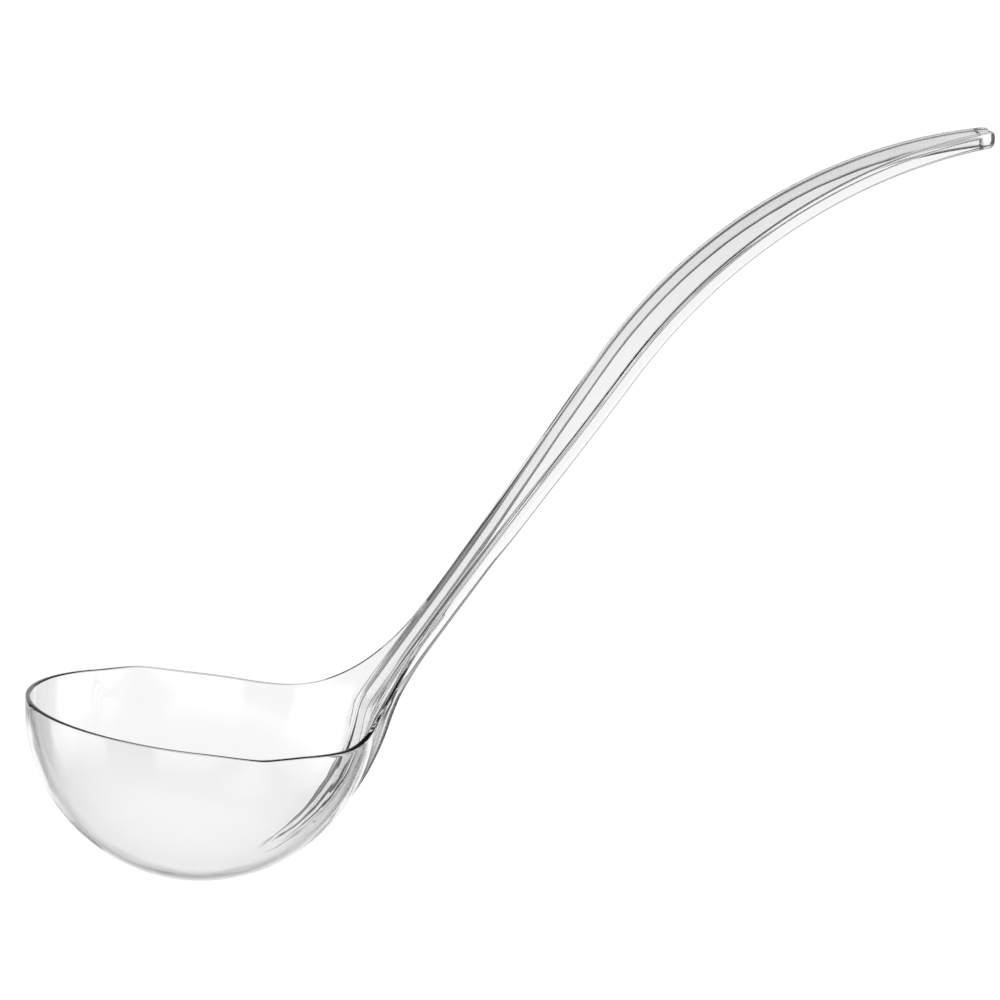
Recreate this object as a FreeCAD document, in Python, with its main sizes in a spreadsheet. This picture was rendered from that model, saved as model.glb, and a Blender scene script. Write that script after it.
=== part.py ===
"""Clear plastic punch ladle: one injection moulding, built as a parametric document.

Frame, in millimetres: the origin is the middle of the bowl's mouth, in the plane of its rim.
+Z points up out of the bowl, +X points from the bowl to the handle, and the ladle is the same
on both sides of the XZ plane. The two pour points are at +Y and -Y.
"""
import FreeCAD, Part
import math
import os

import Sketcher
from FreeCAD import Placement, Rotation, Vector

doc = FreeCAD.newDocument("punch_ladle")

# ---------------------------------------------------------------- driving dimensions
SIZES = [
    ("bowl_radius", 44.0, "outside of the bowl, which is part of a ball"),
    ("bowl_depth", 42.0, "from the rim down to the outside of the bottom"),
    ("wall", 1.3, "wall of the bowl and of the web behind it"),
    ("pour_out", 3.8, "how far the tip of each pour point stands out of the ball"),
    ("pour_lap", 0.3, "how far a pour cone dips into the ball where the two meet"),
    ("flare_radius", 30.0, "concave sweep of the rim up into the neck"),
    ("bend_radius", 14.0, "bend between the bowl's wall and the web"),
    ("web_lap", 0.15, "how far the web stands in front of the handle's plate"),
    ("rise_angle", 58.2, "slope of the straight part of the handle, in degrees"),
    ("foot_inset", 3.25, "from the outside of the rim in to the handle's front line"),
    ("rise_length", 110.2, "straight part of the handle, from the rim plane"),
    ("sweep_radius", 138.5, "arc of the handle over the straight part"),
    ("end_slope", 9.6, "slope of the handle at its end, in degrees"),
    ("handle_depth", 4.5, "depth of the handle's channel section"),
    ("plate", 1.5, "top plate of the channel section"),
    ("skirt", 1.6, "side skirts of the channel section, and the back ribs"),
    ("neck_width", 11.4, "narrowest width of the handle, above the bowl"),
    ("grip_width", 18.4, "widest part of the handle"),
    ("tip_width", 5.0, "width of the handle at its end"),
    ("neck_run", 19.3, "from the handle's foot out to where the neck starts to widen"),
    ("grip_run", 67.3, "from the handle's foot out to its widest part"),
    ("band_start", 4.0, "where the handle starts, along it from the rim plane"),
    ("channel_start", 1.0, "where the channel begins, along the handle from the rim plane"),
    ("end_wall", 3.4, "solid end of the channel"),
    ("tip_round", 2.0, "rounded corners of the handle's end, seen from above"),
    ("edge_round", 0.7, "rounding of the handle's long front edges"),
    ("rib_height", 6.0, "how far the back ribs stand out of the rim"),
    ("rib_ease", 8.0, "how much larger the arc of the back ribs is than the ball"),
    ("rib_sweep", 60.0, "concave sweep of the back ribs up into the handle"),
    ("rib_foot_angle", 62.0, "how far down the ball the back ribs run, in degrees"),
    ("margin", 5.0, "how far a cutting shape runs past what it cuts"),
]

sheet = doc.addObject("Spreadsheet::Sheet", "Sizes")
for row, (alias, value, note) in enumerate(SIZES, start=1):
    sheet.set(f"A{row}", alias)
    sheet.set(f"B{row}", str(value))
    sheet.setAlias(f"B{row}", alias)
    sheet.set(f"C{row}", note)
doc.recompute()


def size(alias):
    """Value of one named size."""
    return float(getattr(sheet, alias))


# ---------------------------------------------------------------- expressions used more than once
BALL_Z = "(Sizes.bowl_radius - Sizes.bowl_depth)"
RISE = "(Sizes.rise_angle * 1 deg)"
FOOT_X = f"(sqrt(Sizes.bowl_radius * Sizes.bowl_radius - {BALL_Z} * {BALL_Z}) - Sizes.foot_inset)"
GRIP_X = f"({FOOT_X} + Sizes.grip_run)"
SWEEP_X = (f"({FOOT_X} + Sizes.rise_length * cos({RISE})"
           f" + Sizes.sweep_radius * sin({RISE}))")
SWEEP_Z = f"(Sizes.rise_length * sin({RISE}) - Sizes.sweep_radius * cos({RISE}))"
END_X = f"({SWEEP_X} - (Sizes.sweep_radius - Sizes.handle_depth) * sin(Sizes.end_slope * 1 deg))"

# ---------------------------------------------------------------- the same places, as numbers
ball_z = size("bowl_radius") - size("bowl_depth")
rise = math.radians(size("rise_angle"))
end_slope = math.radians(size("end_slope"))
along = Vector(math.cos(rise), math.sin(rise), 0)
behind = Vector(math.sin(rise), -math.cos(rise), 0)
rim_radius = math.sqrt(size("bowl_radius") ** 2 - ball_z ** 2)
foot = Vector(rim_radius - size("foot_inset"), 0, 0)
sweep_centre = foot + along * size("rise_length") + behind * size("sweep_radius")
end_x = sweep_centre.x - (size("sweep_radius") - size("handle_depth")) * math.sin(end_slope)

SIDE_PLANE = Rotation(Vector(1, 0, 0), Vector(0, 0, 1), Vector(0, -1, 0), "ZXY")
FRONT_PLANE = Rotation(Vector(0, 1, 0), Vector(0, 0, 1), Vector(1, 0, 0), "ZXY")
PLAN_PLANE = Rotation()
START, END, CENTRE = 1, 2, 3


class Outline:
    """A closed sketch: its edges are drawn in place first and then tied to the sizes."""

    def __init__(self, name, plane):
        self.sketch = doc.addObject("Sketcher::SketchObject", name)
        self.sketch.Placement = Placement(Vector(), plane)
        self.count = 0

    def line(self, first, second):
        """Adds a straight edge."""
        return self.sketch.addGeometry(Part.LineSegment(first, second), False)

    def guide_line(self, first, second):
        """Adds a straight construction line."""
        return self.sketch.addGeometry(Part.LineSegment(first, second), True)

    def guide_point(self, where):
        """Adds a construction point."""
        return self.sketch.addGeometry(Part.Point(where), True)

    def arc(self, centre, first, second):
        """Adds an arc, counter-clockwise from one point to the other."""
        radius = (first - centre).Length
        turns = [math.atan2(p.y - centre.y, p.x - centre.x) for p in (first, second)]
        circle = Part.Circle(centre, Vector(0, 0, 1), radius)
        return self.sketch.addGeometry(Part.ArcOfCircle(circle, *turns), False)

    def tie(self, kind, *where):
        """Adds a geometric constraint."""
        self.sketch.addConstraint(Sketcher.Constraint(kind, *where))

    def set(self, kind, *where, to):
        """Adds a constraint that follows an expression over the sizes."""
        self.count += 1
        name = f"size_{self.count}"
        found = self.sketch.evalExpression(to)
        number = float(getattr(found, "Value", found))
        if kind == "Angle":
            number = math.radians(number)
        index = self.sketch.addConstraint(Sketcher.Constraint(kind, *where, number))
        self.sketch.renameConstraint(index, name)
        self.sketch.setExpression(f"Constraints.{name}", to)

    def place(self, edge, end, x_to, y_to):
        """Pins a point of an edge to a place given by two expressions."""
        self.set("DistanceX", -1, 1, edge, end, to=x_to)
        self.set("DistanceY", -1, 1, edge, end, to=y_to)


def extrude(name, outline, length, both_sides=True):
    """Extrudes an outline along its normal, its length given by an expression."""
    item = doc.addObject("Part::Extrusion", name)
    item.Base = outline.sketch
    item.DirMode = "Normal"
    item.Solid = True
    item.Symmetric = both_sides
    item.setExpression("LengthFwd", length)
    return item


def join(kind, name, shapes):
    """Fuses or intersects objects as one parametric object."""
    item = doc.addObject(kind, name)
    item.Shapes = shapes
    return item


def cut(name, base, tool):
    """Cuts one object out of another."""
    item = doc.addObject("Part::Cut", name)
    item.Base = base
    item.Tool = tool
    return item


# ---------------------------------------------------------------- bowl
def revolved_wall(name, inset):
    """The ball's surface and, above it, the bend and the cone of the web, filled to the axis.

    inset names the size by which the surface lies inside the bowl's outside, if it does.
    """
    inset_mm = size(inset) if inset else 0.0
    inset_to = f"Sizes.{inset}" if inset else "0"
    ball = size("bowl_radius") - inset_mm
    bend = size("bend_radius") + inset_mm
    depth = size("wall") - inset_mm - size("web_lap")
    middle = Vector(0, ball_z, 0)
    line_origin = foot + behind * (depth + bend)
    reach = line_origin - middle
    half = reach.dot(along)
    step = -half + math.sqrt(half * half - reach.dot(reach) + (ball + bend) ** 2)
    bend_centre = line_origin + along * step
    bottom = middle - Vector(0, ball, 0)
    leave_ball = middle + (bend_centre - middle).normalize() * ball
    join_cone = bend_centre - behind * bend
    top_z = size("flare_radius")
    top = join_cone + along * ((top_z - join_cone.y) / along.y)
    outline = Outline(name + "_profile", SIDE_PLANE)
    ball_arc = outline.arc(middle, bottom, leave_ball)
    bend_arc = outline.arc(bend_centre, join_cone, leave_ball)
    cone = outline.line(join_cone, top)
    lid = outline.line(top, Vector(0, top.y, 0))
    axis = outline.line(Vector(0, top.y, 0), bottom)
    outline.tie("Tangent", ball_arc, END, bend_arc, END)
    outline.tie("Tangent", bend_arc, START, cone, START)
    outline.tie("Coincident", cone, END, lid, START)
    outline.tie("Coincident", lid, END, axis, START)
    outline.tie("Coincident", axis, END, ball_arc, START)
    outline.tie("Horizontal", lid)
    outline.tie("PointOnObject", axis, START, -2)
    outline.tie("PointOnObject", axis, END, -2)
    outline.tie("PointOnObject", ball_arc, CENTRE, -2)
    outline.set("DistanceY", -1, 1, ball_arc, CENTRE, to=BALL_Z)
    outline.set("Radius", ball_arc, to=f"Sizes.bowl_radius - {inset_to}")
    outline.set("Radius", bend_arc, to=f"Sizes.bend_radius + {inset_to}")
    outline.set("Angle", cone, to=RISE)
    outline.set("DistanceY", -1, 1, cone, END, to="Sizes.flare_radius")
    deep = f"(Sizes.wall - {inset_to} - Sizes.web_lap)"
    outline.set("DistanceX", -1, 1, cone, END, to=(
        f"{FOOT_X} + {deep} / sin({RISE}) + Sizes.flare_radius / tan({RISE})"))
    item = doc.addObject("Part::Revolution", name)
    item.Source = outline.sketch
    item.Axis = Vector(0, 0, 1)
    item.Angle = 360
    item.Solid = True
    return item


def pour_cone(name, side, inset):
    """Cone that carries the ball's surface out to a pour point, towards +Y (1) or -Y (-1)."""
    item = doc.addObject("Part::Cone", name)
    ball = f"(Sizes.bowl_radius - {inset})"
    apex = f"((Sizes.bowl_radius + Sizes.pour_out) * {ball} / Sizes.bowl_radius)"
    start = f"({ball} * {ball} / {apex})"
    slope = f"asin(({ball} - Sizes.pour_lap) / {apex})"
    item.setExpression("Radius1", f"({apex} - {start}) * tan({slope})")
    item.Radius2 = 0
    item.setExpression("Height", f"{apex} - {start}")
    item.Placement = Placement(Vector(), Rotation(Vector(1, 0, 0), -90 * side))
    item.setExpression(".Placement.Base.y", f"{side} * {start}")
    item.setExpression(".Placement.Base.z", BALL_Z)
    return item


def flare_outline():
    """What stays above the rim plane, seen along X: the web, swept in to the neck's width."""
    radius = size("flare_radius")
    half = size("neck_width") / 2
    outline = Outline("flare_profile", FRONT_PLANE)
    edges = {}
    for side in (1, -1):
        centre = Vector(side * (half + radius), radius, 0)
        low = Vector(centre.x, 0, 0)
        high = Vector(side * half, radius, 0)
        first, second = (high, low) if side > 0 else (low, high)
        arc = outline.arc(centre, first, second)
        edges[side] = arc
    right, left = edges[1], edges[-1]
    top = outline.line(Vector(half, radius, 0), Vector(-half, radius, 0))
    base = outline.line(Vector(-half - radius, 0, 0), Vector(half + radius, 0, 0))
    outline.tie("Coincident", right, START, top, START)
    outline.tie("Coincident", top, END, left, END)
    outline.tie("Coincident", left, START, base, START)
    outline.tie("Coincident", base, END, right, END)
    for side, arc, end in ((1, right, END), (-1, left, START)):
        middle = "(Sizes.neck_width / 2 + Sizes.flare_radius)"
        outline.place(arc, CENTRE, f"{side} * {middle}", "Sizes.flare_radius")
        outline.place(arc, end, f"{side} * {middle}", "0")
    outline.tie("Horizontal", top)
    outline.set("DistanceY", -1, 1, top, START, to="Sizes.flare_radius")
    return outline


def rib_outline():
    """Side view of the back ribs, with the edge that runs from the handle down the bowl."""
    ball = size("bowl_radius")
    angle = math.radians(size("rib_foot_angle"))
    low = Vector(ball * math.cos(angle), ball_z - ball * math.sin(angle), 0)
    at_rim = Vector(rim_radius + size("rib_height"), 0, 0)
    radius, sweep = ball + size("rib_ease"), size("rib_sweep")
    chord = at_rim - low
    rise_of_arc = math.sqrt(radius ** 2 - (chord.Length / 2) ** 2)
    lower_centre = (low + at_rim) / 2 + Vector(-chord.y, chord.x, 0).normalize() * rise_of_arc
    line_origin = foot + behind * (size("handle_depth") + sweep)
    reach = line_origin - lower_centre
    half = reach.dot(along)
    step = -half + math.sqrt(half * half - reach.dot(reach) + (radius + sweep) ** 2)
    upper_centre = line_origin + along * step
    change = lower_centre + (upper_centre - lower_centre).normalize() * radius
    leave_handle = upper_centre - behind * sweep
    in_plate = leave_handle - behind * (size("handle_depth") - size("plate") / 2)
    outline = Outline("rib_profile", SIDE_PLANE)
    lower = outline.arc(lower_centre, low, change)
    upper = outline.arc(upper_centre, leave_handle, change)
    across = outline.line(leave_handle, in_plate)
    back = outline.line(in_plate, low)
    front_line = outline.guide_line(foot, foot + along * size("rise_length"))
    rim_point = outline.guide_point(at_rim)
    outline.tie("Tangent", lower, END, upper, END)
    outline.tie("Coincident", upper, START, across, START)
    outline.tie("Coincident", across, END, back, START)
    outline.tie("Coincident", back, END, lower, START)
    outline.tie("PointOnObject", upper, CENTRE, across)
    outline.set("Angle", across, to=f"{RISE} + 90 deg")
    outline.set("Radius", lower, to="Sizes.bowl_radius + Sizes.rib_ease")
    outline.set("Radius", upper, to="Sizes.rib_sweep")
    slope = "(Sizes.rib_foot_angle * 1 deg)"
    outline.place(lower, START, f"Sizes.bowl_radius * cos({slope})",
                  f"{BALL_Z} - Sizes.bowl_radius * sin({slope})")
    outline.place(rim_point, START, f"{FOOT_X} + Sizes.foot_inset + Sizes.rib_height", "0")
    outline.tie("PointOnObject", rim_point, START, lower)
    outline.place(front_line, START, FOOT_X, "0")
    outline.set("Angle", front_line, to=RISE)
    outline.set("Distance", front_line, to="Sizes.rise_length")
    outline.set("Distance", upper, START, front_line, to="Sizes.handle_depth")
    outline.set("Distance", across, END, front_line, to="Sizes.plate / 2")
    return outline


# ---------------------------------------------------------------- handle
def band_outline(name, top, bottom, start, end_turn):
    """Side view of a band along the handle, between two depths under its front surface.

    top, bottom, start (along the straight part) and end_turn (the end's slope) are pairs of a
    value and the expression that it follows.
    """
    slope = math.radians(end_turn[0])
    outward = Vector(-math.sin(slope), math.cos(slope), 0)
    radius = size("sweep_radius")
    front_start = foot + along * start[0] + behind * top[0]
    front_top = sweep_centre - behind * (radius - top[0])
    front_end = sweep_centre + outward * (radius - top[0])
    back_end = sweep_centre + outward * (radius - bottom[0])
    back_top = sweep_centre - behind * (radius - bottom[0])
    back_start = foot + along * start[0] + behind * bottom[0]
    outline = Outline(name, SIDE_PLANE)
    front = outline.line(front_start, front_top)
    front_arc = outline.arc(sweep_centre, front_end, front_top)
    close = outline.line(back_end, front_end)
    back_arc = outline.arc(sweep_centre, back_end, back_top)
    back = outline.line(back_top, back_start)
    open_end = outline.line(back_start, front_start)
    outline.tie("Tangent", front, END, front_arc, END)
    outline.tie("Coincident", front_arc, START, close, END)
    outline.tie("Coincident", close, START, back_arc, START)
    outline.tie("Tangent", back_arc, END, back, START)
    outline.tie("Coincident", back, END, open_end, START)
    outline.tie("Coincident", open_end, END, front, START)
    outline.tie("Coincident", front_arc, CENTRE, back_arc, CENTRE)
    outline.tie("PointOnObject", front_arc, CENTRE, close)
    outline.tie("Parallel", front, back)
    outline.tie("Perpendicular", front, open_end)
    outline.place(front_arc, CENTRE, SWEEP_X, SWEEP_Z)
    outline.set("Angle", front, to=RISE)
    outline.set("Angle", close, to=f"90 deg + {end_turn[1]}")
    outline.set("Radius", front_arc, to=f"Sizes.sweep_radius - {top[1]}")
    outline.set("Radius", back_arc, to=f"Sizes.sweep_radius - {bottom[1]}")
    outline.set("Distance", front, to=f"Sizes.rise_length - {start[1]}")
    return outline


def plan_outline(name, inset):
    """The handle's width seen from above, inset by a size: neck, widest part and end."""
    inset_mm = size(inset) if inset else 0.0
    inset_to = f"Sizes.{inset}" if inset else "0"
    neck_x, grip_x = foot.x + size("neck_run"), foot.x + size("grip_run")
    neck = size("neck_width") / 2 - inset_mm
    grip = size("grip_width") / 2 - inset_mm
    tip = size("tip_width") / 2 - inset_mm
    run, swell = grip_x - neck_x, grip - neck
    bend = (run * run + swell * swell) / (4 * swell)
    run_to = "(Sizes.grip_run - Sizes.neck_run)"
    swell_to = "((Sizes.grip_width - Sizes.neck_width) / 2)"
    bend_to = f"(({run_to} * {run_to} + {swell_to} * {swell_to}) / (4 * {swell_to}))"
    tail_run, drop = end_x - grip_x, grip - tip
    tail = (tail_run * tail_run + drop * drop) / (2 * drop)
    share = (bend + inset_mm) / (2 * bend)
    outline = Outline(name, PLAN_PLANE)
    foot_corner, tip_corner = {}, {}
    for side in (1, -1):
        def at(x, y):
            return Vector(x, side * y, 0)
        change = at(neck_x + run * share, neck + swell * share)
        corners = [at(0, neck), at(neck_x, neck), change, at(grip_x, grip), at(end_x, tip)]
        centres = [at(neck_x, neck + bend + inset_mm), at(grip_x, grip - bend + inset_mm),
                   at(grip_x, grip - tail)]
        shank = outline.line(corners[0], corners[1])
        arcs = []
        for number, centre in enumerate(centres):
            pair = [corners[number + 1], corners[number + 2]]
            if (number == 0) != (side == 1):
                pair.reverse()
            arcs.append(outline.arc(centre, *pair))
        hollow, crown, tail_arc = arcs
        first, last = (START, END) if side == 1 else (END, START)
        outline.tie("Tangent", shank, END, hollow, first)
        outline.tie("Tangent", hollow, last, crown, last)
        outline.tie("Tangent", crown, first, tail_arc, last)
        outline.tie("Horizontal", shank)
        outline.place(shank, START, "0", f"{side} * (Sizes.neck_width / 2 - {inset_to})")
        outline.set("DistanceX", -1, 1, shank, END, to=f"{FOOT_X} + Sizes.neck_run")
        outline.set("Radius", hollow, to=f"{bend_to} + {inset_to}")
        outline.place(crown, first, GRIP_X, f"{side} * (Sizes.grip_width / 2 - {inset_to})")
        outline.set("DistanceX", -1, 1, crown, CENTRE, to=GRIP_X)
        outline.place(tail_arc, first, END_X, f"{side} * (Sizes.tip_width / 2 - {inset_to})")
        foot_corner[side] = (shank, START)
        tip_corner[side] = (tail_arc, first)
    close = outline.line(Vector(0, neck, 0), Vector(0, -neck, 0))
    end = outline.line(Vector(end_x, tip, 0), Vector(end_x, -tip, 0))
    for side, point in ((1, START), (-1, END)):
        outline.tie("Coincident", *foot_corner[side], close, point)
        outline.tie("Coincident", *tip_corner[side], end, point)
    return outline


# ---------------------------------------------------------------- putting the moulding together
def ball_with_pours(name, inset):
    """The bowl's solid: revolved wall surface and both pour cones, filled."""
    inset_to = f"Sizes.{inset}" if inset else "0"
    body = revolved_wall(name + "_wall", inset)
    cones = [pour_cone(f"{name}_pour_{word}", side, inset_to)
             for word, side in (("left", 1), ("right", -1))]
    return body, cones


def back_ribs():
    """The two ribs behind the bowl, which run on up into the handle's skirts."""
    slab = extrude("rib_slab", rib_outline(), "Sizes.neck_width")
    gap = doc.addObject("Part::Box", "rib_gap")
    gap.setExpression("Width", "Sizes.neck_width - 2 * Sizes.skirt")
    gap.setExpression("Length", "Sizes.bowl_radius + Sizes.rib_height + Sizes.flare_radius")
    gap.setExpression("Height", "Sizes.bowl_depth + Sizes.margin + Sizes.flare_radius")
    gap.setExpression(".Placement.Base.y", "Sizes.skirt - Sizes.neck_width / 2")
    gap.setExpression(".Placement.Base.z", "-Sizes.bowl_depth - Sizes.margin")
    return cut("back_ribs", slab, gap)


def above_rim():
    """Everything over the rim plane except the web's flare."""
    block = doc.addObject("Part::Box", "over_rim")
    for side in ("Length", "Width"):
        block.setExpression(side, "Sizes.bowl_radius * 4")
    block.setExpression("Height", "Sizes.bowl_radius * 2")
    block.setExpression(".Placement.Base.x", "-Sizes.bowl_radius * 2")
    block.setExpression(".Placement.Base.y", "-Sizes.bowl_radius * 2")
    flare = extrude("flare", flare_outline(), "Sizes.bowl_radius * 3", both_sides=False)
    return cut("above_rim", block, flare)


def rounded_edges(blank):
    """The handle's two upright end edges and its long front edges, each with its radius."""
    end_faces = [face for face in blank.Faces
                 if face.CenterOfMass.x > end_x - size("end_wall")
                 and abs(face.normalAt(0, 0).x) > math.cos(end_slope) - 0.01]
    chosen = []
    for number, edge in enumerate(blank.Edges, start=1):
        middle = edge.valueAt((edge.FirstParameter + edge.LastParameter) / 2)
        if abs(middle.y) < size("tip_width") / 4:
            continue
        upright = any(edge.isPartner(other) for face in end_faces for other in face.Edges)
        flat = Vector(middle.x, middle.z, 0)
        before_sweep = (flat - foot).dot(along) < size("rise_length")
        depth = ((flat - foot).dot(behind) if before_sweep
                 else size("sweep_radius") - (flat - sweep_centre).Length)
        if upright:
            chosen.append((number, size("tip_round"), size("tip_round")))
        elif abs(depth) < size("plate") / 2:
            chosen.append((number, size("edge_round"), size("edge_round")))
    return chosen


def handle():
    """The handle: a curved band cut to its plan, hollowed to a channel from below."""
    depth = (size("handle_depth"), "Sizes.handle_depth")
    below = (size("handle_depth") + size("margin"), "(Sizes.handle_depth + Sizes.margin)")
    band_start = (size("band_start"), "Sizes.band_start")
    end_turn = math.degrees(end_slope)
    end_to = "Sizes.end_slope * 1 deg"
    wall_turn = math.degrees(size("end_wall") / size("sweep_radius"))
    wall_to = "Sizes.end_wall / Sizes.sweep_radius * 1 rad"
    height = "(Sizes.rise_length + Sizes.sweep_radius) * 2"
    band = band_outline("band_profile", (0.0, "0"), depth, band_start, (end_turn, end_to))
    hollow = band_outline("channel_profile", (size("plate"), "Sizes.plate"), below,
                          (size("channel_start"), "Sizes.channel_start"),
                          (end_turn + wall_turn, f"{end_to} + {wall_to}"))
    blank = join("Part::MultiCommon", "handle_blank", [
        extrude("band", band, "Sizes.grip_width * 2"),
        extrude("handle_plan", plan_outline("plan_profile", ""), height)])
    doc.recompute()
    rounded = doc.addObject("Part::Fillet", "handle_rounded")
    rounded.Base = blank
    rounded.Edges = rounded_edges(blank.Shape)
    channel = join("Part::MultiCommon", "channel", [
        extrude("channel_band", hollow, "Sizes.grip_width * 2"),
        extrude("channel_plan", plan_outline("channel_plan_profile", "skirt"), height)])
    return cut("handle", rounded, channel)


outside, outside_pours = ball_with_pours("outside", "")
inside, inside_pours = ball_with_pours("inside", "wall")
filled = join("Part::MultiFuse", "bowl_filled", [outside, *outside_pours, back_ribs()])
hollow_space = join("Part::MultiFuse", "bowl_hollow", [inside, *inside_pours])
bowl = cut("bowl", cut("bowl_untrimmed", filled, hollow_space), above_rim())
ladle = join("Part::MultiFuse", "ladle", [bowl, handle()])
ladle.Label = "ladle"
ladle.Placement = Placement()
doc.recompute()

# ---------------------------------------------------------------- tests, then the files
for item in doc.Objects:
    if {"Invalid", "Error"} & set(item.State):
        raise RuntimeError(f"{item.Label} failed: {item.State}")
    if item.TypeId == "Sketcher::SketchObject" and not item.FullyConstrained:
        raise RuntimeError(f"{item.Label} isn't fully constrained")

pieces = [ladle]
os.makedirs("parts", exist_ok=True)
for piece in pieces:
    shape = piece.Shape
    if shape.isNull() or not shape.isValid() or len(shape.Solids) != 1:
        raise RuntimeError(f"{piece.Label} isn't one valid solid")
    shape.exportStep(f"parts/{piece.Label}.step")
    box = shape.BoundBox
    print(f"{piece.Label}: {shape.Volume / 1000:.1f} cm3,"
          f" {box.XLength:.1f} x {box.YLength:.1f} x {box.ZLength:.1f} mm")
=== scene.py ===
"""Looks of a clear moulded punch ladle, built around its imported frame."""

import logging
import math
from dataclasses import dataclass, field
from enum import Enum, IntEnum

import bmesh
import bpy
from mathutils import Matrix, Vector

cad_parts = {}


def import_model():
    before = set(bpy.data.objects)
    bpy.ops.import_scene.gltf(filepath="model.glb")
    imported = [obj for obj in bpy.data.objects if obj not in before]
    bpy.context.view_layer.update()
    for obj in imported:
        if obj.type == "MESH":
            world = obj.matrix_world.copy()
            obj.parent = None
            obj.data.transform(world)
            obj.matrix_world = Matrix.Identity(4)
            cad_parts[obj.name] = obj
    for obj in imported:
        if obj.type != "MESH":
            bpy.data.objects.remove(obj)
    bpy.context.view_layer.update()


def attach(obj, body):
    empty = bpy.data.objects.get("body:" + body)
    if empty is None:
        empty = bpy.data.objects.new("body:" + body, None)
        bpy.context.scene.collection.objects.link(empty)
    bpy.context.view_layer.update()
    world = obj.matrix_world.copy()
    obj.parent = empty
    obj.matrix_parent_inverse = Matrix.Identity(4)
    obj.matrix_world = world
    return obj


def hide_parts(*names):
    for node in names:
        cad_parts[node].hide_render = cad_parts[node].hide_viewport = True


LOG = logging.getLogger("ladle")
MM = 0.001
SEAM = 2e-6
FOOT_WELD = 4e-6
WELD = 3e-6
PAST_STRIP = 1e-9
OFF_MIDDLE = 1e-7
ON_STRIP = 1.0 + 1e-6
ON_BOWL = 1.001
HALVINGS = 60


class Layer(IntEnum):
    """How deep in the moulding a vertex lies."""

    FRONT = 0
    BACK = 1
    RIDGE = 2
    FLOOR = 3


class Slot(Enum):
    """Names of the record's material slots; this script does not use them."""

    CLEAR = "clear_plastic"


def smooth_step(value: float, low: float, high: float) -> float:
    """Ease from 0 to 1 between two values.

    Args:
        value: where to read the curve.
        low: value at which the curve leaves 0.
        high: value at which the curve reaches 1.

    Returns:
        A share from 0 to 1.
    """
    share = min(1.0, max(0.0, (value - low) / (high - low)))
    return share * share * (3 - 2 * share)


def ranged(nodes: bpy.types.Nodes, start: tuple[float, float], end: tuple[float, float],
           soft: bool = True) -> bpy.types.ShaderNode:
    """Add a node that carries one range of values over to another.

    Args:
        nodes: list that receives the node.
        start: range that goes in.
        end: range that comes out.
        soft: whether the change eases in and out.

    Returns:
        The node.
    """
    node = nodes.new("ShaderNodeMapRange")
    if soft:
        node.interpolation_type = "SMOOTHSTEP"
    for name, value in zip(("From Min", "From Max", "To Min", "To Max"), start + end):
        node.inputs[name].default_value = value
    return node


def arithmetic(nodes: bpy.types.Nodes, operation: str) -> bpy.types.ShaderNode:
    """Add a node that does one sum.

    Args:
        nodes: list that receives the node.
        operation: which sum.

    Returns:
        The node.
    """
    node = nodes.new("ShaderNodeMath")
    node.operation = operation
    return node


def noise(nodes: bpy.types.Nodes, scale: float, detail: float) -> bpy.types.ShaderNode:
    """Add a node with soft random spots.

    Args:
        nodes: list that receives the node.
        scale: how fine the spots are.
        detail: how many finer layers they carry.

    Returns:
        The node.
    """
    node = nodes.new("ShaderNodeTexNoise")
    node.inputs["Scale"].default_value = scale
    node.inputs["Detail"].default_value = detail
    return node


@dataclass(frozen=True)
class ClearPolystyrene:
    """Polished clear moulding: bends light strongly, a little wavy, with faint handling marks."""

    ior: float = 1.59
    tint: tuple[float, float, float, float] = (0.99, 0.99, 0.99, 1.0)
    wave_scale: float = 55.0
    wave_detail: float = 1.5
    wave_height: float = 0.22 * MM
    mark_scale: float = 900.0
    mark_detail: float = 4.0
    mark_band: tuple[float, float] = (0.45, 0.75)
    roughness: tuple[float, float] = (0.0, 0.012)

    def material(self) -> bpy.types.Material:
        """Build the node material.

        Returns:
            The material, ready to be put on a piece.
        """
        mat = bpy.data.materials.new("clear_polystyrene")
        mat.use_nodes = True
        nodes, links = mat.node_tree.nodes, mat.node_tree.links
        shader = nodes["Principled BSDF"]
        shader.inputs["Base Color"].default_value = self.tint
        shader.inputs["Transmission Weight"].default_value = 1.0
        shader.inputs["IOR"].default_value = self.ior
        place = nodes.new("ShaderNodeTexCoord")
        wave = noise(nodes, self.wave_scale, self.wave_detail)
        marks = noise(nodes, self.mark_scale, self.mark_detail)
        spread = ranged(nodes, self.mark_band, self.roughness, soft=False)
        bump = nodes.new("ShaderNodeBump")
        bump.inputs["Strength"].default_value = 1.0
        bump.inputs["Distance"].default_value = self.wave_height
        links.new(place.outputs["Object"], wave.inputs["Vector"])
        links.new(place.outputs["Object"], marks.inputs["Vector"])
        links.new(marks.outputs["Fac"], spread.inputs["Value"])
        links.new(spread.outputs["Result"], shader.inputs["Roughness"])
        links.new(wave.outputs["Fac"], bump.inputs["Height"])
        links.new(bump.outputs["Normal"], shader.inputs["Normal"])
        return mat


@dataclass(frozen=True)
class WhiteTable:
    """Matt white studio surface, lit from underneath as well as from above."""

    albedo: float = 0.5
    glow: float = 1.0
    roughness: float = 0.9

    def material(self) -> bpy.types.Material:
        """Build the node material.

        Returns:
            The floor's material.
        """
        mat = bpy.data.materials.new("white_table")
        mat.use_nodes = True
        shader = mat.node_tree.nodes["Principled BSDF"]
        shader.inputs["Base Color"].default_value = (self.albedo,) * 3 + (1.0,)
        shader.inputs["Roughness"].default_value = self.roughness
        shader.inputs["Specular IOR Level"].default_value = 0.0
        shader.inputs["Emission Color"].default_value = (1.0, 1.0, 1.0, 1.0)
        shader.inputs["Emission Strength"].default_value = self.glow
        return mat


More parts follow.
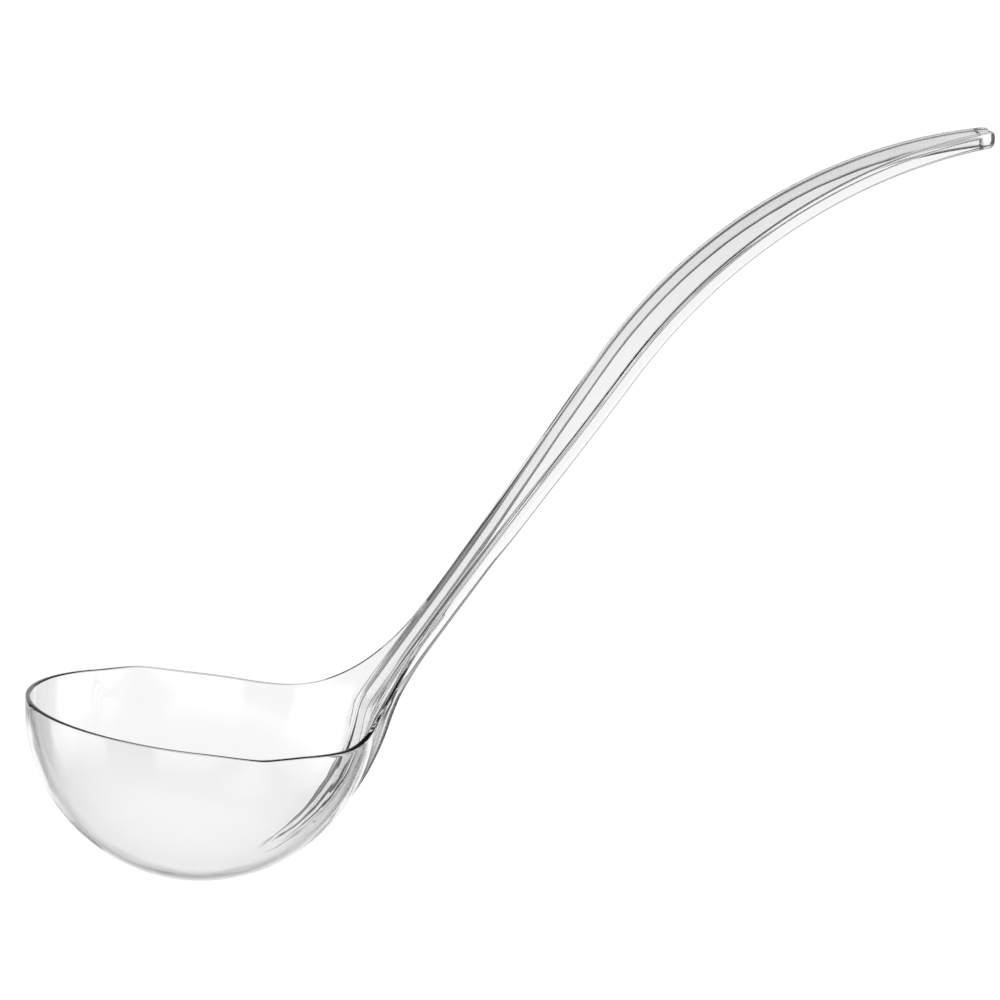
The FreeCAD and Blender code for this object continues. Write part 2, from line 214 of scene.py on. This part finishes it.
@dataclass
class SidePath:
    """The sheet's line seen from the side: up the ball, round the bend, up the rise, over the sweep.

    Lengths run along the front surface from the bottom of the bowl, in metres.
    """

    ball: float = 42.7 * MM
    ball_z: float = 2.0 * MM
    bend: float = 15.3 * MM
    wall: float = 1.3 * MM
    plate: float = 1.5 * MM
    depth: float = 4.5 * MM
    lap: float = 0.15 * MM
    foot_x: float = 40.7 * MM
    rise: float = math.radians(58.2)
    rise_length: float = 110.2 * MM
    sweep: float = 138.5 * MM
    end_slope: float = math.radians(9.6)

    def __post_init__(self) -> None:
        """Work out where each stretch starts."""
        along = Vector((math.cos(self.rise), math.sin(self.rise)))
        behind = Vector((along.y, -along.x))
        foot = Vector((self.foot_x, 0.0))
        reach = foot - behind * self.lap + behind * self.bend - Vector((0.0, self.ball_z))
        half = reach.dot(along)
        total = self.ball + self.bend
        step = -half + math.sqrt(half * half - reach.length_squared + total * total)
        centre = reach + along * step
        self.leave = math.atan2(centre.y, centre.x)
        self.bend_centre = centre + Vector((0.0, self.ball_z))
        self.ball_end = self.ball * (math.pi / 2 + self.leave)
        self.bend_end = self.ball_end + self.bend * (math.pi / 2 + self.leave - self.rise)
        self.cone_start = self.bend_centre - behind * self.bend
        used = (self.cone_start - foot).dot(along)
        self.rise_end = self.bend_end + self.rise_length - used
        self.end = self.rise_end + self.sweep * (self.rise - self.end_slope)
        self.rise_top = self.cone_start + along * (self.rise_length - used)
        self.sweep_centre = self.rise_top + behind * (self.sweep + self.lap)

    def heading(self, length: float) -> float:
        """Angle of the path above the horizontal.

        Args:
            length: metres along the path.

        Returns:
            The angle, in radians.
        """
        if length <= self.ball_end:
            return length / self.ball
        if length <= self.bend_end:
            return math.pi / 2 + self.leave - (length - self.ball_end) / self.bend
        if length <= self.rise_end:
            return self.rise
        return self.rise - (length - self.rise_end) / self.sweep

    def point(self, length: float) -> Vector:
        """Place on the front surface.

        Args:
            length: metres along the path.

        Returns:
            Distance from the bowl's axis, and height.
        """
        turn = self.heading(length)
        if length <= self.ball_end:
            return Vector((self.ball * math.sin(turn), self.ball_z - self.ball * math.cos(turn)))
        if length <= self.bend_end:
            return self.bend_centre + Vector((-math.sin(turn), math.cos(turn))) * self.bend
        if length <= self.rise_end:
            line = Vector((math.cos(turn), math.sin(turn)))
            return self.cone_start + line * (length - self.bend_end)
        outward = Vector((-math.sin(turn), math.cos(turn)))
        return self.sweep_centre + outward * (self.sweep + self.lap)

    def behind(self, length: float) -> Vector:
        """Unit vector from the front surface towards the back."""
        turn = self.heading(length)
        return Vector((math.sin(turn), -math.cos(turn)))

    def length_at(self, height: float) -> float:
        """Length along the path at which it reaches a height, by halving.

        Args:
            height: metres above the rim's plane, below the sweep.

        Returns:
            Metres along the path.
        """
        low, high = 0.0, self.rise_end
        for _ in range(HALVINGS):
            middle = (low + high) / 2
            if self.point(middle).y < height:
                low = middle
            else:
                high = middle
        return (low + high) / 2


@dataclass
class RidgeLine:
    """Outer edge of the back ribs, from the bowl's underside up to the handle's back."""

    path: SidePath
    ball: float = 44.0 * MM
    foot_angle: float = math.radians(62.0)
    rim_x: float = 49.95 * MM
    lower: float = 52.0 * MM
    upper: float = 60.0 * MM

    def __post_init__(self) -> None:
        """Find the two arcs' centres."""
        low = Vector((self.ball * math.cos(self.foot_angle),
                      self.path.ball_z - self.ball * math.sin(self.foot_angle)))
        chord = Vector((self.rim_x, 0.0)) - low
        lift = math.sqrt(self.lower ** 2 - (chord.length / 2) ** 2)
        side = Vector((-chord.y, chord.x)).normalized()
        self.low_centre = low + chord / 2 + side * lift
        along = Vector((math.cos(self.path.rise), math.sin(self.path.rise)))
        behind = Vector((along.y, -along.x))
        origin = Vector((self.path.foot_x, 0.0)) + behind * (self.path.depth + self.upper)
        reach = origin - self.low_centre
        half = reach.dot(along)
        total = self.lower + self.upper
        step = -half + math.sqrt(half * half - reach.length_squared + total * total)
        self.high_centre = origin + along * step
        self.change = self.low_centre + (self.high_centre - self.low_centre).normalized() * self.lower
        self.leave = self.high_centre - behind * self.upper

    def reach(self, start: Vector, line: Vector) -> float:
        """How far a line from the sheet runs before it leaves the ribs.

        Args:
            start: side-view point on the sheet.
            line: unit vector, square to the sheet.

        Returns:
            Metres from start to the ribs' edge.
        """
        gap = start - self.low_centre
        half = gap.dot(line)
        outer = -half + math.sqrt(max(0.0, half * half - gap.length_squared + self.lower ** 2))
        if (start + line * outer).y <= self.change.y:
            return outer
        gap = start - self.high_centre
        half = gap.dot(line)
        inside = half * half - gap.length_squared + self.upper ** 2
        inner = -half - math.sqrt(max(0.0, inside))
        if inside > 0.0 and (start + line * inner).y <= self.leave.y:
            return inner
        return self.path.depth + self.path.lap


@dataclass
class Ladle:
    """The whole moulding: bowl with pour points, web, handle with skirts, ribs on the back."""

    path: SidePath = field(default_factory=SidePath)
    pour_reach: float = 47.8 * MM
    pour_lap: float = 0.3 * MM
    outer_ball: float = 44.0 * MM
    flare: float = 30.0 * MM
    neck_half: float = 5.7 * MM
    grip_half: float = 9.2 * MM
    tip_half: float = 2.5 * MM
    tip_round: float = 2.0 * MM
    neck_x: float = 60.0 * MM
    grip_x: float = 108.0 * MM
    end_x: float = 194.14 * MM
    skirt: float = 1.6 * MM
    neck_skirt: float = 3.0 * MM
    neck_curl: float = 3.4 * MM
    grip_curl: float = 1.2 * MM
    curl_deep: float = 0.7
    curl_wide: float = 0.9
    nose_round: float = 1.3 * MM
    nose_rows: tuple[float, ...] = (2.6, 2.0, 1.4, 0.9, 0.5, 0.22, 0.0)
    foot_share: float = 0.55
    end_wall: float = 3.4 * MM
    pole_zone: float = 18.0 * MM
    flat_low: float = 14.0 * MM
    flat_high: float = 42.0 * MM
    rim_zone: float = 0.5 * MM
    rim_round: float = 0.45 * MM
    rim_segments: int = 4
    ridge_round: float = 0.35 * MM
    ridge_segments: int = 3
    crease: float = math.radians(38)
    low_rib: float = 8.0 * MM
    level_height: float = 3.0 * MM
    pace: float = 1.6 * MM
    rim_columns: int = 104
    plate_columns: int = 6
    skirt_columns: int = 6

    def __post_init__(self) -> None:
        """Work out the stops along the handle's strip and round the rim."""
        self.ridge = RidgeLine(self.path)
        self.neck_top = self.path.length_at(self.flare)
        self.rim_length = self.path.length_at(0.0)
        self.foot_length = self.path.ball * (math.pi / 2 - self.ridge.foot_angle)
        self.gap_start = self.foot_length + self.low_rib / 2
        knots = [0.0, self.foot_length, self.gap_start, self.rim_length, self.neck_top]
        self.bowl_stops = self.spread(knots, self.pace)
        self.wall_start = self.path.end - self.end_wall
        self.handle_stops = self.spread([self.neck_top, self.wall_start], self.pace)
        self.handle_stops += [self.path.end - left * MM for left in self.nose_rows]
        self.columns = self.rim_stops()

    @staticmethod
    def spread(knots: list[float], pace: float) -> list[float]:
        """Even stops between knots.

        Args:
            knots: values that must be stops, rising.
            pace: widest gap between stops.

        Returns:
            All stops, the knots among them.
        """
        stops = [knots[0]]
        for low, high in zip(knots, knots[1:]):
            count = max(1, math.ceil((high - low) / pace))
            stops += [low + (high - low) * step / count for step in range(1, count + 1)]
        return stops

    def inner_turn(self, radius: float) -> float:
        """Azimuth of the strip's edge at a distance from the bowl's axis."""
        return math.asin(self.neck_half * self.taper(radius) / max(radius, self.pole_zone))

    def taper(self, radius: float) -> float:
        """How much narrower the strip is at a distance from the bowl's axis."""
        rim = self.path.ball
        return self.foot_share + (1 - self.foot_share) * smooth_step(radius, self.pole_zone, rim)

    def rim_stops(self) -> list[tuple[float, float]]:
        """Columns of the bowl outside the strip, evenly spaced along the flare and the rim.

        Returns:
            Each column's share of the way round, and the length at which it meets the edge.
        """
        flare_length = self.flare * math.pi / 2
        rim_radius = self.path.point(self.rim_length).x
        start_turn = math.asin((self.neck_half + self.flare) / rim_radius)
        total = flare_length + rim_radius * (math.pi - start_turn)
        stops = []
        for column in range(self.rim_columns + 1):
            gone = total * column / self.rim_columns
            if gone < flare_length:
                turn = gone / self.flare
                length = self.path.length_at(self.flare * (1 - math.sin(turn)))
                radius = self.path.point(length).x
                side = self.neck_half + self.flare * (1 - math.cos(turn))
                azimuth = math.asin(min(1.0, side / radius))
            else:
                length = self.rim_length
                radius = rim_radius
                azimuth = start_turn + (gone - flare_length) / rim_radius
            edge = self.inner_turn(radius)
            stops.append((max(0.0, (azimuth - edge) / (math.pi - edge)), length))
        return stops

    def half_width(self, x: float) -> tuple[float, float]:
        """Half the handle's width in plan, without and with the tip's rounding.

        Args:
            x: metres from the bowl's axis.

        Returns:
            Half width before rounding, half width.
        """
        if x <= self.neck_x:
            return self.neck_half, self.neck_half
        if x <= self.grip_x:
            run, gain = (self.grip_x - self.neck_x) / 2, (self.grip_half - self.neck_half) / 2
            bow = (run * run + gain * gain) / (2 * gain)
            if x <= self.neck_x + run:
                wide = self.neck_half + bow - math.sqrt(bow ** 2 - (x - self.neck_x) ** 2)
            else:
                wide = self.grip_half - bow + math.sqrt(bow ** 2 - (self.grip_x - x) ** 2)
            return wide, wide
        run, loss = self.end_x - self.grip_x, self.grip_half - self.tip_half
        bow = (run * run + loss * loss) / (2 * loss)
        wide = self.grip_half - bow + math.sqrt(bow ** 2 - min(run, x - self.grip_x) ** 2)
        left = max(0.0, self.end_x - x)
        if left >= self.tip_round:
            return wide, wide
        inset = self.tip_round - math.sqrt(self.tip_round ** 2 - (self.tip_round - left) ** 2)
        return wide, wide - inset

    def strip_side(self, share: float, x: float) -> float:
        """Distance of a strip column from the middle plane.

        Args:
            share: the column, from -1 to 1 across the strip.
            x: metres from the bowl's axis.

        Returns:
            Metres, with the sign of share.
        """
        before, after = self.half_width(x)
        neck = 1 - smooth_step(x, self.neck_x, self.neck_x + self.flare)
        skirt = self.skirt + (self.neck_skirt - self.skirt) * neck
        total = self.plate_columns + self.skirt_columns
        step = abs(share) * total
        if step <= self.plate_columns:
            side = (before - skirt) * step / self.plate_columns
        else:
            left = 1 - (step - self.plate_columns) / self.skirt_columns
            side = before - skirt * left ** 2
        return math.copysign(side * after / before * self.taper(x), share)

    def sheet_depth(self, length: float) -> float:
        """How far the sheet's back lies behind its front line."""
        flat = smooth_step(self.path.point(length).y, self.flat_low, self.flat_high)
        return self.path.wall + (self.path.plate + self.path.lap - self.path.wall) * flat

    def ridge_depth(self, length: float, side: float, half: float) -> float:
        """How far the back stands behind the front surface where it is raised.

        Args:
            length: metres along the side path.
            side: distance from the middle plane.
            half: half the width there.

        Returns:
            Metres behind the front surface, rounded towards the sides.
        """
        front, back = self.path.point(length), self.path.behind(length)
        sheet = self.sheet_depth(length)
        full = max(self.ridge.reach(front, back), sheet)
        neck = 1 - smooth_step(length, self.neck_top, self.neck_top + self.flare)
        curl = self.grip_curl + (self.neck_curl - self.grip_curl) * neck
        curl *= smooth_step(length, self.foot_length, self.rim_length)
        curl = min(curl, self.curl_deep * (full - sheet), half * self.curl_wide)
        left = max(0.0, half - abs(side))
        if left >= curl:
            return full
        return full - curl + math.sqrt(curl * curl - (curl - left) ** 2)

    def floor_share(self, length: float) -> float:
        """How much of the space between the ribs is filled, from 0 to 1."""
        return 1 - smooth_step(length, self.gap_start, self.foot_length + self.low_rib)

    def nose(self, length: float) -> float:
        """How far the rounding at the handle's end draws the front and the back in.

        Args:
            length: metres along the side path.

        Returns:
            Metres, 0 away from the end.
        """
        left = self.path.end - length
        if left >= self.nose_round:
            return 0.0
        return self.nose_round - math.sqrt(self.nose_round ** 2 - (self.nose_round - left) ** 2)

    def place(self, length: float, share: float, layer: Layer) -> Vector:
        """Position of a point of the moulding.

        Args:
            length: metres along the side path.
            share: -1 to 1 across the strip, or past that the share of the way round the bowl.
            layer: front, back, the ribs' outer edge or the floor between them.

        Returns:
            The point, in metres.
        """
        front, back = self.path.point(length), self.path.behind(length)
        flat = smooth_step(front.y, self.flat_low, self.flat_high)
        sheet = self.sheet_depth(length)
        nose = self.nose(length)
        spot = front + back * (self.path.lap * flat + nose if layer is Layer.FRONT else sheet)
        if abs(share) <= 1.0:
            side = self.strip_side(share, spot.x) * min(1.0, spot.x / self.pole_zone)
            across = math.sqrt(max(0.0, spot.x ** 2 - side ** 2))
            lean = (spot.x - across) * (1 - flat)
            if layer in (Layer.RIDGE, Layer.FLOOR):
                tall = self.ridge_depth(length, side, abs(self.strip_side(1.0, spot.x)))
                if layer is Layer.FLOOR:
                    tall = sheet + (tall - sheet) * self.floor_share(length)
                lean *= min(1.0, max(0.0, 1 - (tall - sheet) / self.level_height))
                spot = front + back * (tall - nose)
            return Vector((spot.x - lean, side, spot.y))
        edge = self.inner_turn(spot.x)
        turn = edge + (math.pi - edge) * (abs(share) - 1.0)
        side = spot.x * math.sin(turn)
        across = spot.x * math.cos(turn)
        place = Vector((across + (spot.x - across) * flat, side, spot.y))
        place = self.with_pour(place)
        place.y = math.copysign(place.y, share)
        return place

    def with_pour(self, place: Vector) -> Vector:
        """Carry a point of the ball out towards the pour point near it.

        Args:
            place: point on the plain ball, on the side of +Y.

        Returns:
            The point on the bowl.
        """
        centre = Vector((0.0, 0.0, self.path.ball_z))
        reach = place - centre
        away = reach.angle(Vector((0.0, 1.0, 0.0)))
        inset = self.outer_ball - self.pour_lap
        limit = math.acos(inset / self.pour_reach)
        growth = inset / self.outer_ball / math.cos(limit - away)
        if away > limit or growth <= 1.0:
            return place
        grown = centre + reach * growth
        if place.z > -self.rim_zone:
            grown.z = place.z
        return grown

    def sheet(self, bm: bmesh.types.BMesh) -> None:
        """Lay the front surface of one side, then mirror it.

        Args:
            bm: empty mesh that receives the sheet.
        """
        run = bm.verts.layers.float.new("run")
        share = bm.verts.layers.float.new("share")
        depth = bm.verts.layers.int.new("depth")
        rows = len(self.bowl_stops) - 1
        bowl = bmesh.ops.create_grid(bm, x_segments=self.rim_columns, y_segments=rows, size=0.5)
        for vert in bowl["verts"]:
            column = round((vert.co.x + 0.5) * self.rim_columns)
            row = round((vert.co.y + 0.5) * rows)
            part, top = self.columns[column]
            vert[run] = self.bowl_stops[row] * top / self.neck_top
            vert[share] = 1.0 + part + (PAST_STRIP if part else 0.0)
        stops = self.bowl_stops + self.handle_stops[1:]
        total = self.plate_columns + self.skirt_columns
        strip = bmesh.ops.create_grid(bm, x_segments=total, y_segments=len(stops) - 1, size=0.5)
        for vert in strip["verts"]:
            vert[run] = stops[round((vert.co.y + 0.5) * (len(stops) - 1))]
            vert[share] = round((vert.co.x + 0.5) * total) / total
        for vert in bm.verts:
            vert[depth] = Layer.FRONT
            vert.co = self.place(vert[run], vert[share], Layer.FRONT)
        bmesh.ops.remove_doubles(bm, verts=bm.verts[:], dist=SEAM)
        geometry = bm.verts[:] + bm.edges[:] + bm.faces[:]
        bmesh.ops.mirror(bm, geom=geometry, axis="Y", merge_dist=SEAM)
        for vert in bm.verts:
            if vert.co.y < -OFF_MIDDLE:
                vert[share] = -abs(vert[share])

    def thicken(self, bm: bmesh.types.BMesh) -> None:
        """Give the sheet its back surface, then raise the skirts, the neck and the ribs from it.

        Args:
            bm: mesh that holds the sheet.
        """
        run = bm.verts.layers.float["run"]
        share = bm.verts.layers.float["share"]
        depth = bm.verts.layers.int["depth"]
        bmesh.ops.recalc_face_normals(bm, faces=bm.faces[:])
        grown = bmesh.ops.extrude_face_region(bm, geom=bm.faces[:])
        for item in grown["geom"]:
            if isinstance(item, bmesh.types.BMVert):
                item[depth] = Layer.BACK
                item.co = self.place(item[run], item[share], Layer.BACK)
        raised = [face for face in bm.faces if self.is_raised(face, run, share, depth)]
        grown = bmesh.ops.extrude_face_region(bm, geom=raised)
        for item in grown["geom"]:
            if isinstance(item, bmesh.types.BMVert):
                item[depth] = Layer.RIDGE
                item.co = self.place(item[run], item[share], Layer.RIDGE)
        bmesh.ops.delete(bm, geom=[face for face in raised if face.is_valid], context="FACES")
        sunk = [face for face in bm.faces if self.is_sunk(face, run, share, depth)]
        grown = bmesh.ops.extrude_face_region(bm, geom=sunk)
        for item in grown["geom"]:
            if isinstance(item, bmesh.types.BMVert):
                item[depth] = Layer.FLOOR
                item.co = self.place(item[run], item[share], Layer.FLOOR)
        bmesh.ops.delete(bm, geom=[face for face in sunk if face.is_valid], context="FACES")
        bmesh.ops.remove_doubles(bm, verts=bm.verts[:], dist=FOOT_WELD)
        bmesh.ops.recalc_face_normals(bm, faces=bm.faces[:])

    def is_raised(self, face: bmesh.types.BMFace, run: bmesh.types.BMLayerItem,
                  share: bmesh.types.BMLayerItem, depth: bmesh.types.BMLayerItem) -> bool:
        """Whether a face of the back carries the ribs, the neck or the skirts.

        Args:
            face: face to judge.
            run: layer of lengths along the side path.
            share: layer of places across the strip.
            depth: layer of depths.

        Returns:
            True where it is raised.
        """
        if any(vert[depth] != Layer.BACK for vert in face.verts):
            return False
        if max(abs(vert[share]) for vert in face.verts) > ON_STRIP:
            return False
        return sum(vert[run] for vert in face.verts) / len(face.verts) > self.foot_length

    def is_sunk(self, face: bmesh.types.BMFace, run: bmesh.types.BMLayerItem,
                share: bmesh.types.BMLayerItem, depth: bmesh.types.BMLayerItem) -> bool:
        """Whether a raised face lies between the ribs or between the skirts.

        Args:
            face: face to judge.
            run: layer of lengths along the side path.
            share: layer of places across the strip.
            depth: layer of depths.

        Returns:
            True where it is sunk.
        """
        if any(vert[depth] != Layer.RIDGE for vert in face.verts):
            return False
        edge = (self.plate_columns + 0.5) / (self.plate_columns + self.skirt_columns)
        if max(abs(vert[share]) for vert in face.verts) > edge:
            return False
        middle = sum(vert[run] for vert in face.verts) / len(face.verts)
        return self.gap_start < middle < self.wall_start

    def soften(self, bm: bmesh.types.BMesh) -> None:
        """Round the moulding's edges.

        Args:
            bm: closed mesh.
        """
        run = bm.verts.layers.float["run"]
        share = bm.verts.layers.float["share"]
        depth = bm.verts.layers.int["depth"]
        front, other = [], []
        for edge in bm.edges:
            if edge.calc_face_angle() < self.crease:
                continue
            layers = {vert[depth] for vert in edge.verts}
            low = min(vert[run] for vert in edge.verts)
            if layers == {int(Layer.FRONT)}:
                front.append(edge)
            elif low > self.foot_length + self.low_rib or max(abs(v[share]) for v in edge.verts) > ON_BOWL:
                other.append(edge)
        bmesh.ops.bevel(bm, geom=front, offset=self.rim_round, offset_type="OFFSET",
                        segments=self.rim_segments, profile=0.5, affect="EDGES", material=-1,
                        clamp_overlap=False)
        other = [edge for edge in other if edge.is_valid]
        bmesh.ops.bevel(bm, geom=other, offset=self.ridge_round, offset_type="OFFSET",
                        segments=self.ridge_segments, profile=0.5, affect="EDGES", material=-1,
                        clamp_overlap=False)
        bmesh.ops.remove_doubles(bm, verts=bm.verts[:], dist=WELD)
        bmesh.ops.dissolve_degenerate(bm, edges=bm.edges[:], dist=WELD)
        for edge in bm.edges:
            edge.smooth = edge.calc_face_angle(0.0) < self.crease

    def build(self, finish: ClearPolystyrene) -> bpy.types.Object:
        """Build the moulding as one closed piece.

        Args:
            finish: the clear plastic.

        Returns:
            The finished object, riding on the frame.
        """
        bm = bmesh.new()
        self.sheet(bm)
        self.thicken(bm)
        self.soften(bm)
        open_edges = sum(1 for edge in bm.edges if len(edge.link_faces) != 2)
        LOG.info("moulding: %d faces, %d open edges, %.2f cm3",
                 len(bm.faces), open_edges, bm.calc_volume() * 1e6)
        for face in bm.faces:
            face.smooth = True
        mesh = bpy.data.meshes.new("ladle_moulding")
        bm.to_mesh(mesh)
        bm.free()
        piece = bpy.data.objects.new("ladle_moulding", mesh)
        bpy.context.scene.collection.objects.link(piece)
        mesh.materials.append(finish.material())
        weights = piece.modifiers.new("even_normals", "WEIGHTED_NORMAL")
        weights.mode = "FACE_AREA"
        weights.weight = 70
        weights.keep_sharp = True
        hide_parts("ladle")
        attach(piece, "root")
        return piece


@dataclass
class Studio:
    """White table, soft surroundings and the camera."""

    floor_z: float = -42.0 * MM
    floor_half: float = 6.0
    aim: Vector = field(default_factory=lambda: Vector((68.4, -12.3, 60.2)) * MM)
    azimuth: float = math.radians(-21.6)
    elevation: float = math.radians(12.85)
    roll: float = math.radians(6.84)
    lens: float = 900.0
    sensor: float = 36.0
    frame: float = 250.0 * MM
    levels: tuple[tuple[float, float], ...] = (
        (-1.0, 0.95), (-0.85, 0.9), (-0.72, 0.6), (-0.6, 0.45), (-0.48, 0.75), (-0.36, 1.0),
        (-0.22, 1.0), (0.0, 1.0), (0.22, 0.8), (0.42, 0.2), (0.7, 0.05), (0.9, 0.04), (1.0, 0.1))
    card_count: float = 4.0
    card_edge: tuple[float, float] = (-0.5, -0.08)
    card_level: float = 0.02
    card_foot: tuple[float, float] = (-0.75, -0.35)
    card_head: tuple[float, float] = (0.04, 0.2)
    card_head_share: float = 0.4
    strength: float = 1.035

    def floor(self) -> bpy.types.Object:
        """Lay the table under the bowl.

        Returns:
            The table.
        """
        bm = bmesh.new()
        bmesh.ops.create_grid(bm, x_segments=1, y_segments=1, size=self.floor_half,
                              matrix=Matrix.Translation((0.0, 0.0, self.floor_z)))
        mesh = bpy.data.meshes.new("table_top")
        bm.to_mesh(mesh)
        bm.free()
        table = bpy.data.objects.new("table_top", mesh)
        bpy.context.scene.collection.objects.link(table)
        mesh.materials.append(WhiteTable().material())
        table.visible_transmission = False
        table.visible_glossy = False
        return table

    def surroundings(self) -> bpy.types.World:
        """Light from all round: bright near the horizon, dark overhead.

        Returns:
            The world, made the scene's own.
        """
        world = bpy.data.worlds.new("studio")
        bpy.context.scene.world = world
        world.use_nodes = True
        nodes, links = world.node_tree.nodes, world.node_tree.links
        background = nodes["Background"]
        place = nodes.new("ShaderNodeTexCoord")
        split = nodes.new("ShaderNodeSeparateXYZ")
        height = ranged(nodes, (-1.0, 1.0), (0.0, 1.0), soft=False)
        ramp = nodes.new("ShaderNodeValToRGB")
        while len(ramp.color_ramp.elements) < len(self.levels):
            ramp.color_ramp.elements.new(1.0)
        for element, (rise, level) in zip(ramp.color_ramp.elements, self.levels):
            element.position = (rise + 1.0) / 2
            element.color = (level, level, level, 1.0)
        path = nodes.new("ShaderNodeLightPath")
        backdrop = nodes.new("ShaderNodeMixRGB")
        backdrop.inputs["Color2"].default_value = (1 / self.strength,) * 3 + (1.0,)
        links.new(place.outputs["Generated"], split.inputs["Vector"])
        links.new(split.outputs["Z"], height.inputs["Value"])
        links.new(height.outputs["Result"], ramp.inputs["Fac"])
        cards = self.cards(world.node_tree, place.outputs["Generated"])
        shade = nodes.new("ShaderNodeMixRGB")
        shade.blend_type = "MULTIPLY"
        shade.inputs["Fac"].default_value = 1.0
        links.new(ramp.outputs["Color"], shade.inputs["Color1"])
        links.new(cards, shade.inputs["Color2"])
        links.new(path.outputs["Is Camera Ray"], backdrop.inputs["Fac"])
        links.new(shade.outputs["Color"], backdrop.inputs["Color1"])
        links.new(backdrop.outputs["Color"], background.inputs["Color"])
        background.inputs["Strength"].default_value = self.strength
        return world

    def cards(self, tree: bpy.types.NodeTree, direction: bpy.types.NodeSocket) -> bpy.types.NodeSocket:
        """Four dark upright cards round the object, as used to give clear plastic dark edges.

        Args:
            tree: the world's nodes.
            direction: where a ray goes.

        Returns:
            Brightness that the cards leave, from card_level to 1.
        """
        nodes, links = tree.nodes, tree.links
        split = nodes.new("ShaderNodeSeparateXYZ")
        turn = arithmetic(nodes, "ARCTAN2")
        shift = arithmetic(nodes, "MULTIPLY_ADD")
        shift.inputs[1].default_value = self.card_count
        shift.inputs[2].default_value = -self.card_count * self.azimuth
        wave = arithmetic(nodes, "COSINE")
        level = ranged(nodes, self.card_edge, (self.card_level, 1.0))
        foot = ranged(nodes, self.card_foot, (0.0, 1.0))
        head = ranged(nodes, self.card_head, (1.0, self.card_head_share))
        both = arithmetic(nodes, "MULTIPLY")
        plain = nodes.new("ShaderNodeMixRGB")
        plain.inputs["Color1"].default_value = (1.0, 1.0, 1.0, 1.0)
        links.new(direction, split.inputs["Vector"])
        links.new(split.outputs["Y"], turn.inputs[0])
        links.new(split.outputs["X"], turn.inputs[1])
        links.new(turn.outputs["Value"], shift.inputs[0])
        links.new(shift.outputs["Value"], wave.inputs[0])
        links.new(wave.outputs["Value"], level.inputs["Value"])
        links.new(split.outputs["Z"], foot.inputs["Value"])
        links.new(split.outputs["Z"], head.inputs["Value"])
        links.new(foot.outputs["Result"], both.inputs[0])
        links.new(head.outputs["Result"], both.inputs[1])
        links.new(both.outputs["Value"], plain.inputs["Fac"])
        links.new(level.outputs["Result"], plain.inputs["Color2"])
        return plain.outputs["Color"]

    def camera(self) -> bpy.types.Object:
        """Set the camera at the viewing angle.

        Returns:
            The camera, made the scene's own.
        """
        turn, tilt = self.azimuth, self.elevation
        right = Vector((math.cos(turn), math.sin(turn), 0.0))
        back = Vector((math.cos(tilt) * math.sin(turn), -math.cos(tilt) * math.cos(turn), math.sin(tilt)))
        basis = Matrix((right, back.cross(right), back)).transposed().to_4x4()
        basis = basis @ Matrix.Rotation(self.roll, 4, "Z")
        distance = self.frame * self.lens / self.sensor
        data = bpy.data.cameras.new("camera")
        data.lens = self.lens
        data.sensor_width = self.sensor
        data.clip_start = 0.05
        data.clip_end = 100.0
        camera = bpy.data.objects.new("camera", data)
        camera.matrix_world = Matrix.Translation(self.aim + back * distance) @ basis
        bpy.context.scene.collection.objects.link(camera)
        bpy.context.scene.camera = camera
        return camera

    def build(self) -> None:
        """Set up the floor, the light and the camera."""
        self.floor()
        self.surroundings()
        self.camera()
        bpy.context.scene.view_settings.view_transform = "Standard"
        LOG.info("studio ready")


def main() -> None:
    """Build every piece around the frame and note the sizes."""
    logging.basicConfig(level=logging.INFO, format="%(name)s: %(message)s")
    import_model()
    moulding = Ladle().build(ClearPolystyrene())
    LOG.info("piece %s built", moulding.name)
    Studio().build()


if __name__ == "__main__":
    main()
